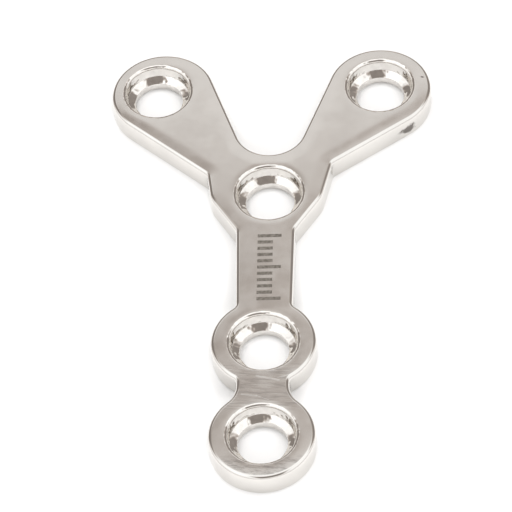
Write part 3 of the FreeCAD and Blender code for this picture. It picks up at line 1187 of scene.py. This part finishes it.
    def build(self, finishes: dict[Zone, bpy.types.Material]) -> bpy.types.Object:
        """Make the finished piece.

        Args:
            finishes: The material of each zone.

        Returns:
            The plate as one closed mesh.
        """
        piece = self.tree(finishes).grown(self.base_object(), "polished_plate")
        closed = bmesh.new()
        closed.from_mesh(piece.data)
        bmesh.ops.recalc_face_normals(closed, faces=closed.faces)
        closed.to_mesh(piece.data)
        open_edges = sum(not edge.is_manifold for edge in closed.edges)
        closed.free()
        log.info("polished_plate: %d faces, %d open edges", len(piece.data.polygons),
                 open_edges)
        return piece


@dataclass
class EtchedScale:
    """Plain ruler of etched strokes along the stem, every fifth one long."""

    thickness: float
    start: tuple[float, float] = (-0.5, -2.62)
    strokes: int = 11
    pitch: float = 0.37
    stroke_width: float = 0.18
    short_stroke: float = 0.72
    long_stroke: float = 1.12
    long_every: int = 5
    depth: float = 0.02
    below_top: float = 0.0006

    def tree(self, finish: bpy.types.Material) -> GeometryTree:
        """Node tree that lays the strokes out.

        Args:
            finish: The strokes' material.

        Returns:
            The tree, with its named inputs.
        """
        tree = GeometryTree("Etched scale")
        pitch = tree.named("Pitch", (0.0, -self.pitch, 0.0), "NodeSocketVector")
        row = tree.add("GeometryNodeMeshLine", {
            "Count": tree.named("Strokes", self.strokes, "NodeSocketInt"),
            "Start Location": tree.named(
                "First stroke", (*self.start, self.thickness - self.below_top),
                "NodeSocketVector"),
            "Offset": pitch}, mode="OFFSET")
        block = tree.add("GeometryNodeMeshCube").outputs["Mesh"]
        corner = tree.add("GeometryNodeTransform", {
            "Geometry": block, "Translation": (0.5, 0.0, -0.5)}).outputs["Geometry"]
        index = tree.add("GeometryNodeInputIndex").outputs["Index"]
        rest = tree.math("MODULO", index, tree.named("Long stroke every", self.long_every,
                                                     "NodeSocketInt"))
        is_long = tree.math("LESS_THAN", rest, 0.5)
        extra = tree.math("MULTIPLY", is_long, tree.named(
            "Extra length", self.long_stroke - self.short_stroke))
        length = tree.math("ADD", extra, tree.named("Short stroke", self.short_stroke))
        size = tree.add("ShaderNodeCombineXYZ", {
            "X": length, "Y": tree.named("Stroke width", self.stroke_width),
            "Z": tree.named("Depth", self.depth)}).outputs["Vector"]
        laid = tree.add("GeometryNodeInstanceOnPoints", {
            "Points": row.outputs["Mesh"], "Instance": corner, "Scale": size})
        real = tree.add("GeometryNodeRealizeInstances", {
            "Geometry": laid.outputs["Instances"]}).outputs["Geometry"]
        metres = tree.add("GeometryNodeTransform", {
            "Geometry": real, "Scale": (MM, MM, MM)}).outputs["Geometry"]
        tree.finish(tree.painted(metres, finish, "Etched finish"))
        return tree

    def build(self, finish: bpy.types.Material) -> bpy.types.Object:
        """Make the strokes as one piece.

        Args:
            finish: The strokes' material.

        Returns:
            The finished piece.
        """
        base = bpy.data.objects.new("scale_base", bpy.data.meshes.new("scale_base"))
        bpy.context.scene.collection.objects.link(base)
        piece = self.tree(finish).grown(base, "etched_scale")
        log.info("etched_scale: %d strokes, %d faces", self.strokes,
                 len(piece.data.polygons))
        return piece


@dataclass(frozen=True)
class BrushedPatch:
    """Where fine brushing marks were left in the top face, with soft sides; their shade darkens the
    colour, on the end ring partly as painted shade.
    """

    centre: tuple[float, float]
    half_size: tuple[float, float]
    softness: float
    angle_deg: float
    length: float
    width: float
    depth_um: float
    shade: float
    faint_mark: float = 0.4
    full_mark: float = 0.72

    def darkening(self, graph: NodeGraph, place: Socket) -> Socket:
        """How much darker the steel is along the marks, from 0 to the patch's shade; a strong shade is
        partly painted shade.

        Args:
            graph: The material's graph.
            place: Coordinates in millimetres.

        Returns:
            The share of black that is mixed in.
        """
        marks = streaks(graph, place, self.angle_deg, self.length, self.width)
        shade = graph.smooth_range(marks, self.faint_mark, self.full_mark, 0.0, self.shade)
        return graph.math("MULTIPLY", shade, self.mask(graph, place))

    def height(self, graph: NodeGraph, place: Socket) -> Socket:
        """Height of the marks, in micrometres.

        Args:
            graph: The material's graph.
            place: Coordinates in millimetres.

        Returns:
            The height's socket.
        """
        marks = streaks(graph, place, self.angle_deg, self.length, self.width)
        return graph.math("MULTIPLY", graph.math("MULTIPLY", marks, self.depth_um),
                          self.mask(graph, place))

    def mask(self, graph: NodeGraph, place: Socket) -> Socket:
        """How strong the marks are at a place, from 0 to 1.

        Args:
            graph: The material's graph.
            place: Coordinates in millimetres.

        Returns:
            The strength's socket.
        """
        parts = graph.add("ShaderNodeSeparateXYZ", {"Vector": place})
        shares = []
        for axis, middle, half in zip("XY", self.centre, self.half_size):
            away = graph.math("ABSOLUTE", graph.math("SUBTRACT", parts.outputs[axis], middle))
            shares.append(graph.smooth_range(away, half + self.softness, half))
        return graph.math("MULTIPLY", *shares)


@dataclass(frozen=True)
class Scratch:
    """Fine straight scratch in the top face, between two places in plan."""

    start: tuple[float, float]
    end: tuple[float, float]
    width: float = 0.05
    depth_um: float = 1.5

    def height(self, graph: NodeGraph, place: Socket) -> Socket:
        """Height of the scratch, in micrometres, below 0 in its groove.

        Args:
            graph: The material's graph.
            place: Coordinates in millimetres.

        Returns:
            The height's socket.
        """
        run = Vector((*self.end, 0.0)) - Vector((*self.start, 0.0))
        offset = graph.vector("SUBTRACT", place, (*self.start, 0.0))
        offset = graph.vector("MULTIPLY", offset, (1.0, 1.0, 0.0))
        share = graph.vector("DOT_PRODUCT", offset, run / run.length_squared, result="Value")
        share = graph.math("ADD", share, 0.0, clamp=True)
        nearest = graph.add("ShaderNodeVectorMath", {0: run, "Scale": share},
                            operation="SCALE").outputs["Vector"]
        gap = graph.vector("DISTANCE", offset, nearest, result="Value")
        return graph.smooth_range(gap, 0.0, self.width, -self.depth_um, 0.0)


@dataclass(frozen=True)
class Stain:
    """Dull dark spot with a ragged border, an ellipsoid in the plate's own frame."""

    centre: tuple[float, float, float]
    radii: tuple[float, float, float]
    turn_deg: float
    tint: Colour
    strength: float
    raggedness: float = 0.5
    rag_scale: float = 4.0
    clear_from: float = 1.1
    full_within: float = 0.5

    def mask(self, graph: NodeGraph, place: Socket) -> Socket:
        """How strong the stain is at a place, from 0 to 1.

        Args:
            graph: The material's graph.
            place: Coordinates in millimetres.

        Returns:
            The strength's socket.
        """
        local = graph.add("ShaderNodeMapping", {
            "Vector": place, "Location": self.centre,
            "Rotation": (0.0, 0.0, math.radians(self.turn_deg)), "Scale": self.radii},
            vector_type="TEXTURE").outputs["Vector"]
        away = graph.vector("LENGTH", local, result="Value")
        noise = graph.noise(place, self.rag_scale, 3.0)
        ragged = graph.math("MULTIPLY", graph.math("SUBTRACT", noise, 0.5),
                            2 * self.raggedness)
        return graph.smooth_range(graph.math("ADD", away, ragged), self.clear_from,
                                  self.full_within, 0.0, self.strength)


def streaks(graph: NodeGraph, place: Socket, angle_deg: float, length: float,
            width: float) -> Socket:
    """Noise drawn out along one direction of the plan, from 0 to 1.

    Args:
        graph: The material's graph.
        place: Coordinates in millimetres.
        angle_deg: Direction of the streaks, from +X towards +Y.
        length: Their length.
        width: Their width.

    Returns:
        The noise's socket.
    """
    turned = graph.add("ShaderNodeMapping", {
        "Vector": place, "Rotation": (0.0, 0.0, math.radians(angle_deg)),
        "Scale": (length, width, width)}, vector_type="TEXTURE")
    return graph.add("ShaderNodeTexNoise", {
        "Vector": turned.outputs["Vector"], "Scale": 1.0, "Detail": 3.0,
        "Roughness": STREAK_ROUGHNESS}).outputs[0]


def new_material(name: str) -> tuple[bpy.types.Material, NodeGraph, Socket]:
    """Start a material whose patterns are laid out in the plate's own millimetres.

    Args:
        name: The material's name.

    Returns:
        The material, its graph and the socket that gives a place in millimetres.
    """
    material = bpy.data.materials.new(name)
    material.use_nodes = True
    material.node_tree.nodes.clear()
    graph = NodeGraph(material.node_tree)
    spot = graph.add("ShaderNodeTexCoord").outputs["Object"]
    place = graph.add("ShaderNodeMapping", {
        "Vector": spot, "Scale": (1 / MM, 1 / MM, 1 / MM)}).outputs["Vector"]
    return material, graph, place


@dataclass(frozen=True)
class SteelFinish:
    """Polished implant steel: faint waviness, fine polishing marks, scratches and stains.

    A name that ends in um is in micrometres. haze_spread is how much the roughness varies
    either way, as a share of it, and stain_roughness is what a full stain adds to it.
    """

    name: str
    tint: Colour
    roughness: float
    tone_spread: float = 0.03
    tone_length: float = 2.2
    wave_um: float = 1.0
    wave_length: float = 1.7
    lay_um: float = 0.05
    lay_deg: float = 4.0
    lay_length: float = 0.9
    lay_width: float = 0.05
    haze_scale: float = 1.3
    haze_spread: float = 0.25
    stain_roughness: float = 0.35
    patches: tuple[BrushedPatch, ...] = ()
    scratches: tuple[Scratch, ...] = ()
    stains: tuple[Stain, ...] = ()

    def height(self, graph: NodeGraph, place: Socket) -> Socket:
        """Height of the whole surface relief, in micrometres.

        Args:
            graph: The material's graph.
            place: Coordinates in millimetres.

        Returns:
            The height's socket.
        """
        waves = graph.noise(place, 1 / self.wave_length, 1.0)
        lay = streaks(graph, place, self.lay_deg, self.lay_length, self.lay_width)
        height = graph.math("ADD", graph.math("MULTIPLY", waves, self.wave_um),
                            graph.math("MULTIPLY", lay, self.lay_um))
        for mark in (*self.patches, *self.scratches):
            height = graph.math("ADD", height, mark.height(graph, place))
        return height

    def colour(self, graph: NodeGraph, place: Socket) -> tuple[Socket, Value]:
        """Colour of the surface, and how dull the stains make it.

        Args:
            graph: The material's graph.
            place: Coordinates in millimetres.

        Returns:
            The colour, and the dullness from 0 to 1.
        """
        tone = graph.noise(place, 1 / self.tone_length, 3.0)
        ends = [tuple(c * (1 + sign * self.tone_spread) for c in self.tint)
                for sign in (-1, 1)]
        colour = graph.mixed_colour(graph.smooth_range(tone, NOISE_LOW, NOISE_HIGH), *ends)
        for patch in self.patches:
            colour = graph.mixed_colour(patch.darkening(graph, place), colour, BLACK)
        dull = 0.0
        for stain in self.stains:
            mask = stain.mask(graph, place)
            colour = graph.mixed_colour(mask, colour, stain.tint)
            dull = graph.math("MAXIMUM", dull, mask)
        return colour, dull

    def build(self) -> bpy.types.Material:
        """Make the material.

        Returns:
            The finished material.
        """
        material, graph, place = new_material(self.name)
        colour, dull = self.colour(graph, place)
        haze = graph.noise(place, self.haze_scale, 4.0)
        polish = graph.smooth_range(haze, NOISE_LOW, NOISE_HIGH,
                                    (1 - self.haze_spread) * self.roughness,
                                    (1 + self.haze_spread) * self.roughness)
        roughness = graph.math("ADD", polish,
                               graph.math("MULTIPLY", dull, self.stain_roughness))
        relief = graph.add("ShaderNodeBump", {
            "Height": self.height(graph, place), "Strength": 1.0,
            "Distance": MICROMETRE}).outputs["Normal"]
        shader = graph.add("ShaderNodeBsdfPrincipled", {
            "Base Color": colour, "Metallic": 1.0, "Roughness": roughness,
            "Normal": relief})
        graph.add("ShaderNodeOutputMaterial", {"Surface": shader.outputs["BSDF"]})
        return material


@dataclass(frozen=True)
class EtchedFinish:
    """Matt dark strokes that a laser leaves in steel, slightly uneven."""

    name: str = "etched_steel"
    dark: Colour = (0.09, 0.08, 0.068)
    pale: Colour = (0.17, 0.153, 0.134)
    grain_scale: float = 9.0
    pale_from: float = 0.35
    relief_um: float = 2.0
    smoothest: float = 0.6
    roughest: float = 0.8
    gloss: float = 0.3

    def build(self) -> bpy.types.Material:
        """Make the material.

        Returns:
            The finished material.
        """
        material, graph, place = new_material(self.name)
        grain = graph.noise(place, self.grain_scale, 4.0)
        colour = graph.mixed_colour(graph.smooth_range(grain, self.pale_from, NOISE_HIGH),
                                    self.dark, self.pale)
        relief = graph.add("ShaderNodeBump", {
            "Height": grain, "Strength": 1.0,
            "Distance": self.relief_um * MICROMETRE}).outputs["Normal"]
        roughness = graph.smooth_range(grain, NOISE_LOW, NOISE_HIGH, self.smoothest,
                                       self.roughest)
        shader = graph.add("ShaderNodeBsdfPrincipled", {
            "Base Color": colour, "Roughness": roughness, "Normal": relief,
            "Specular IOR Level": self.gloss})
        graph.add("ShaderNodeOutputMaterial", {"Surface": shader.outputs["BSDF"]})
        return material


@dataclass(frozen=True)
class StudioCard:
    """Flat panel round the plate, bright or dark, that the steel mirrors.

    Its azimuth is 0 in front of the plate, towards -Y, and grows towards +X. Its sides are
    soft, and half_width_deg and half_height_deg reach to where it is half as strong.
    """

    azimuth_deg: float
    elevation_deg: float
    half_width_deg: float
    half_height_deg: float
    softness_deg: float
    level: float

    def axes(self) -> tuple[Vector, Vector, Vector]:
        """Unit vectors towards the card, along its width and along its height.

        Returns:
            The three unit vectors.
        """
        toward = direction(self.azimuth_deg, self.elevation_deg)
        aside = sideways(self.azimuth_deg)
        return toward, aside, toward.cross(aside)

    def mask(self, graph: NodeGraph, toward: Socket) -> Socket:
        """How much of the card is seen in a direction, from 0 to 1.

        Args:
            graph: The world's graph.
            toward: The direction looked in.

        Returns:
            The share's socket.
        """
        ahead, aside, above = (
            graph.vector("DOT_PRODUCT", toward, axis, result="Value")
            for axis in self.axes())
        shares = [graph.math("GREATER_THAN", ahead, 0.0)]
        for reach, half_angle in ((aside, self.half_width_deg),
                                  (above, self.half_height_deg)):
            angle = graph.math("ARCTAN2", graph.math("ABSOLUTE", reach), ahead)
            shares.append(graph.smooth_range(
                angle, math.radians(half_angle + self.softness_deg),
                math.radians(half_angle - self.softness_deg)))
        return graph.math("MULTIPLY", shares[0], graph.math("MULTIPLY", *shares[1:]))


@dataclass(frozen=True)
class Surroundings:
    """Light tent round the plate, as soft light and as what the steel mirrors.

    It grows brighter at two heights: from horizon_level to low_level just above the table,
    and from there to level higher up. Parts brighter than white_level are white, and those
    darker than warm_level have the warm tint. Later cards hide earlier ones.
    """

    level: float = 1.38
    low_level: float = 1.08
    low_top_deg: float = 18.0
    high_bottom_deg: float = 38.0
    backdrop: float = 1.5
    horizon_level: float = 0.6
    horizon_bottom_deg: float = 1.0
    horizon_top_deg: float = 6.0
    warm_tint: Colour = (1.0, 0.9, 0.83)
    warm_level: float = 0.4
    white_level: float = 1.3
    cards: tuple[StudioCard, ...] = (
        # Wide grey panel behind the plate, which the stem and the rings mirror.
        StudioCard(180.0, 28.0, 50.0, 30.0, 6.0, 0.73),
        # Dark panels behind the plate, to its left and to its right.
        StudioCard(-146.0, 25.0, 28.0, 31.0, 8.0, 0.3),
        StudioCard(146.0, 23.0, 28.0, 29.0, 8.0, 0.34),
        # Paler strip in the grey panel, which the arms mirror.
        StudioCard(-174.5, 44.5, 13.0, 6.9, 1.6, 0.99),
        # Bright panel high up on the left.
        StudioCard(-70.0, 62.0, 18.0, 14.0, 5.0, 1.6),
        # Dark panel in front, which far rims and the end ring's front edge mirror.
        StudioCard(15.6, 56.0, 20.0, 24.0, 6.0, 0.33),
    )

    def build(self) -> None:
        """Make the world shader."""
        world = bpy.data.worlds.new("light_tent")
        bpy.context.scene.world = world
        world.use_nodes = True
        world.node_tree.nodes.clear()
        graph = NodeGraph(world.node_tree)
        toward = graph.add("ShaderNodeTexCoord").outputs["Generated"]
        height = graph.add("ShaderNodeSeparateXYZ", {"Vector": toward}).outputs["Z"]
        light = graph.math("ADD", *(
            graph.smooth_range(height, math.sin(math.radians(bottom)),
                               math.sin(math.radians(top)), start, end)
            for bottom, top, start, end in (
                (self.horizon_bottom_deg, self.horizon_top_deg, self.horizon_level,
                 self.low_level),
                (self.low_top_deg, self.high_bottom_deg, 0.0,
                 self.level - self.low_level))))
        for card in self.cards:
            light = graph.add("ShaderNodeMix", {
                "Factor": card.mask(graph, toward), "A": light, "B": card.level},
                data_type="FLOAT").outputs["Result"]
        seen = graph.add("ShaderNodeLightPath").outputs["Is Camera Ray"]
        shown = graph.add("ShaderNodeMix", {
            "Factor": seen, "A": light, "B": self.backdrop}, data_type="FLOAT")
        shown = shown.outputs["Result"]
        whiteness = graph.smooth_range(shown, self.warm_level, self.white_level)
        tint = graph.mixed_colour(whiteness, self.warm_tint, WHITE)
        background = graph.add("ShaderNodeBackground", {"Color": tint, "Strength": shown})
        graph.add("ShaderNodeOutputWorld", {"Surface": background.outputs["Background"]})
        log.info("surroundings: %d cards", len(self.cards))


@dataclass(frozen=True)
class SoftLamp:
    """Round lamp that lights the table and isn't mirrored in the steel."""

    name: str
    azimuth_deg: float
    table_gain: float
    elevation_deg: float = 60.0
    distance: float = 400.0
    diameter: float = 240.0

    def build(self) -> None:
        """Make the lamp, strong enough to add table_gain to a white table's brightness."""
        toward = direction(self.azimuth_deg, self.elevation_deg)
        data = bpy.data.lights.new(self.name, "AREA")
        data.shape = "DISK"
        data.size = self.diameter * MM
        reach = self.distance * MM
        slant = math.sin(math.radians(self.elevation_deg))
        data.energy = self.table_gain * (math.pi * reach) ** 2 / slant
        lamp = bpy.data.objects.new(self.name, data)
        lamp.location = toward * reach
        lamp.rotation_euler = toward.to_track_quat("Z", "Y").to_euler()
        lamp.visible_glossy = False
        lamp.visible_camera = False
        bpy.context.scene.collection.objects.link(lamp)
        log.info("%s: %.2f W", self.name, data.energy)


@dataclass(frozen=True)
class Table:
    """Plain white table under the plate."""

    half_side: float = 400.0
    tint: Colour = (0.82, 0.82, 0.82)
    roughness: float = 0.9
    gloss: float = 0.0

    def build(self) -> None:
        reach = self.half_side * MM
        mesh = bpy.data.meshes.new("table")
        mesh.from_pydata([(-reach, -reach, 0.0), (reach, -reach, 0.0), (reach, reach, 0.0),
                          (-reach, reach, 0.0)], [], [(0, 1, 2, 3)])
        table = bpy.data.objects.new("table", mesh)
        bpy.context.scene.collection.objects.link(table)
        material = bpy.data.materials.new("white_table")
        material.use_nodes = True
        shader = material.node_tree.nodes["Principled BSDF"]
        shader.inputs["Base Color"].default_value = (*self.tint, 1.0)
        shader.inputs["Roughness"].default_value = self.roughness
        shader.inputs["Specular IOR Level"].default_value = self.gloss
        mesh.materials.append(material)
        log.info("table: %.0f mm wide", 2 * self.half_side)


@dataclass(frozen=True)
class PhotoCamera:
    """Camera at the photograph's viewing angle, in millimetres, degrees and pixels."""

    azimuth_deg: float = 5.552
    elevation_deg: float = 51.92
    roll_deg: float = -5.815
    distance: float = 168.9
    focal_px: float = 3579.9
    target: tuple[float, float] = (-0.651, -2.880)
    nearest: float = 5.0
    farthest: float = 20000.0

    def build(self) -> None:
        """Make the camera and set it as the scene's own."""
        back = direction(self.azimuth_deg, self.elevation_deg)
        level = sideways(self.azimuth_deg)
        up = back.cross(level)
        roll = math.radians(self.roll_deg)
        right = level * math.cos(roll) + up * math.sin(roll)
        above = up * math.cos(roll) - level * math.sin(roll)
        data = bpy.data.cameras.new("camera")
        data.sensor_width = SENSOR_MM
        data.lens = self.focal_px * SENSOR_MM / PHOTO_SIDE_PX
        data.clip_start = self.nearest * MM
        data.clip_end = self.farthest * MM
        camera = bpy.data.objects.new("camera", data)
        bpy.context.scene.collection.objects.link(camera)
        turn = Matrix((right, above, back)).transposed().to_4x4()
        place = (Vector((*self.target, 0.0)) + back * self.distance) * MM
        camera.matrix_world = Matrix.Translation(place) @ turn
        bpy.context.scene.camera = camera
        log.info("camera: %.1f mm lens", data.lens)


NECK_BRUSHING = BrushedPatch(
    centre=(-0.14, -11.35), half_size=(1.6, 1.0), softness=0.5, angle_deg=-5.0, length=1.1,
    width=0.13, depth_um=2.4, shade=0.22)
# Brushing marks on the end ring's front. Their shade is partly painted shade: it darkens that stretch
# of the ring's colour in place of a darker reflection.
END_RING_BRUSHING_AND_SHADE = BrushedPatch(
    centre=(-0.14, -15.85), half_size=(1.7, 0.4), softness=0.4, angle_deg=-8.0, length=0.5,
    width=0.14, depth_um=1.5, shade=0.33)
NECK_SCRATCHES = (
    Scratch((-0.43, -10.74), (0.62, -11.0)),
    Scratch((0.55, -10.87), (1.11, -10.71), width=0.04, depth_um=1.0),
    Scratch((-1.08, -11.75), (-0.4, -11.85), width=0.04, depth_um=1.0),
    Scratch((-0.4, -11.85), (0.14, -12.11), width=0.04, depth_um=1.0),
)
RIGHT_END_SPECK = Stain(
    centre=(7.33, 6.94, 1.2), radii=(0.1, 0.05, 0.1), turn_deg=-10.0,
    tint=(0.12, 0.1, 0.09), strength=0.9, raggedness=0.2)
RIGHT_WALL_SMUDGE = Stain(
    centre=(6.6, 4.25, 0.5), radii=(0.52, 0.4, 0.27), turn_deg=30.0,
    tint=(0.1, 0.085, 0.075), strength=0.85, raggedness=0.8)


def main() -> None:
    """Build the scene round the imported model."""
    logging.basicConfig(level=logging.INFO, format="%(message)s")
    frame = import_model()
    bpy.context.scene.view_settings.view_transform = "Standard"
    PhotoCamera().build()
    Surroundings().build()
    SoftLamp("right_lamp", azimuth_deg=122.0, table_gain=0.23).build()
    SoftLamp("left_lamp", azimuth_deg=-140.0, table_gain=0.25).build()
    SoftLamp("front_lamp", azimuth_deg=12.0, table_gain=0.3, elevation_deg=20.0).build()
    Table().build()

    low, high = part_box(NODE)
    plate = BonePlate.from_frame(frame["record"]["mounts"], (high.z - low.z) / MM)
    piece = plate.build({
        Zone.FACE: SteelFinish(
            "face_steel", tint=(0.66, 0.64, 0.614), roughness=0.12,
            patches=(NECK_BRUSHING, END_RING_BRUSHING_AND_SHADE), scratches=NECK_SCRATCHES,
            stains=(RIGHT_END_SPECK,)).build(),
        # The edge and seat steel are tinted lighter than the face steel. This is partly their finish
        # and partly painted light for the brighter light they mirror.
        Zone.EDGE: SteelFinish(
            "edge_steel_painted_lighter", tint=(0.7, 0.68, 0.652), roughness=0.06,
            stains=(RIGHT_WALL_SMUDGE,)).build(),
        Zone.SEAT: SteelFinish(
            "seat_steel_painted_lighter", tint=(0.76, 0.735, 0.703), roughness=0.05, tone_spread=0.06,
            tone_length=0.3, wave_um=32.0, wave_length=0.36).build(),
    })
    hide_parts(NODE)
    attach(piece, BODY)

    scale = EtchedScale(plate.edge.thickness).build(EtchedFinish().build())
    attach(scale, BODY)


if __name__ == "__main__":
    main()
